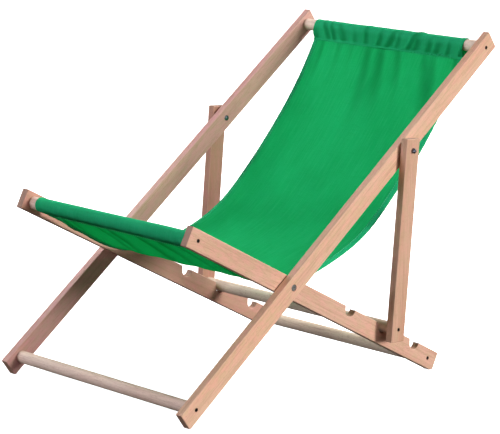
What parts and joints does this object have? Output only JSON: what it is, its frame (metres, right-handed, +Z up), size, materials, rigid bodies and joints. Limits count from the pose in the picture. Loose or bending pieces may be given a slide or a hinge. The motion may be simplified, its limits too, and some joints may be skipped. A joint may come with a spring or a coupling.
{
  "type": "folding deck chair",
  "caption": "Folding wooden deck chair: two crossed dowelled frames on a bolt pivot, a prop frame resting in notches, and a canvas sling hung between two dowels",
  "frame": {"origin": "on the floor, in the middle of the chair's length and width", "axes": "+Z up, -Y the way the sitter faces, +X the sitter's left"},
  "size_m": [0.6002, 0.9094, 0.7316],
  "materials": {
    "rail_wood": "sanded, clear matt finish",
    "dowel_wood": "turned, clear matt finish",
    "canvas": "plain woven cotton canvas",
    "zinc_steel": "zinc plated",
    "dark_steel": "dull",
    "screw_steel": "dark, sunk in the wood"
  },
  "bodies": {
    "seat_frame": {"seat_rail_left": "rail_wood", "seat_rail_right": "rail_wood", "front_dowel": "dowel_wood", "rear_dowel": "dowel_wood", "front_screw_left": "screw_steel", "front_screw_right": "screw_steel", "rear_screw_left": "screw_steel", "rear_screw_right": "screw_steel", "canvas_sling": "canvas"},
    "back_frame": {"back_rail_left": "rail_wood", "back_rail_right": "rail_wood", "foot_dowel": "dowel_wood", "top_dowel": "dowel_wood", "foot_screw_left": "screw_steel", "foot_screw_right": "screw_steel", "top_screw_left": "screw_steel", "top_screw_right": "screw_steel", "pivot_bolt_left": "zinc_steel", "pivot_bolt_right": "zinc_steel", "pivot_washer_left": "zinc_steel", "pivot_washer_right": "zinc_steel", "pivot_nut_washer_left": "zinc_steel", "pivot_nut_washer_right": "zinc_steel", "pivot_nut_left": "zinc_steel", "pivot_nut_right": "zinc_steel", "prop_bolt_left": "zinc_steel", "prop_bolt_right": "zinc_steel", "prop_spacer_left": "zinc_steel", "prop_spacer_right": "zinc_steel", "prop_cap_nut_left": "dark_steel", "prop_cap_nut_right": "dark_steel"},
    "prop_frame": {"prop_leg_left": "rail_wood", "prop_leg_right": "rail_wood", "prop_dowel": "dowel_wood", "prop_screw_left": "screw_steel", "prop_screw_right": "screw_steel"}
  },
  "joints": [
    {"name": "back_fold", "type": "hinge", "parent": "seat_frame", "child": "back_frame", "pos_m": [0, -0.15215, 0.244], "axis": [1, 0, 0], "range_deg": [0, 100], "deforming": ["canvas_sling"]},
    {"name": "prop_swing", "type": "hinge", "parent": "back_frame", "child": "prop_frame", "pos_m": [0, 0.1686, 0.49858], "axis": [1, 0, 0], "range_deg": [-40, 0]}
  ],
  "couplings": [
    {"joint": "prop_swing", "follows": "back_fold", "ratio": -0.4}
  ]
}
